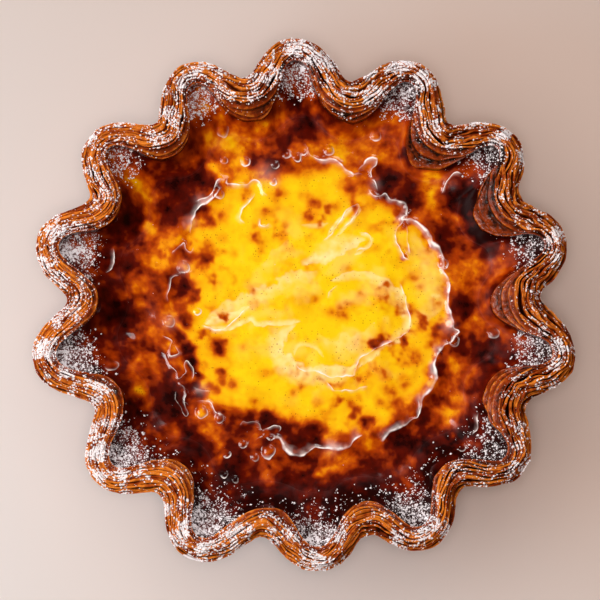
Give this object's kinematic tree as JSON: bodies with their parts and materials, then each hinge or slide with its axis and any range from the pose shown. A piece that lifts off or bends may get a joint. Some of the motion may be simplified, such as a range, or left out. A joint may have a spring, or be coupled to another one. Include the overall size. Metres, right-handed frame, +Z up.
{
  "type": "puff pastry custard tart",
  "caption": "Round open tart: a deep, flared, fluted case of laminated puff pastry with leaf edges showing on its wavy rim, filled with baked custard whose skin is browned round a pale middle.",
  "frame": {"origin": "middle of the flat base that the tart stands on", "axes": "+Z up out of the open top, +X to the right and +Y to the far side for someone looking down on the tart"},
  "size_m": [0.1096, 0.1085, 0.038],
  "materials": {
    "pastry": "browned puff pastry",
    "custard": "baked custard under a thin glaze",
    "icing_sugar": "dry powder"
  },
  "bodies": {
    "root": {"pastry_case": "pastry", "custard": "custard"}
  },
  "joints": []
}
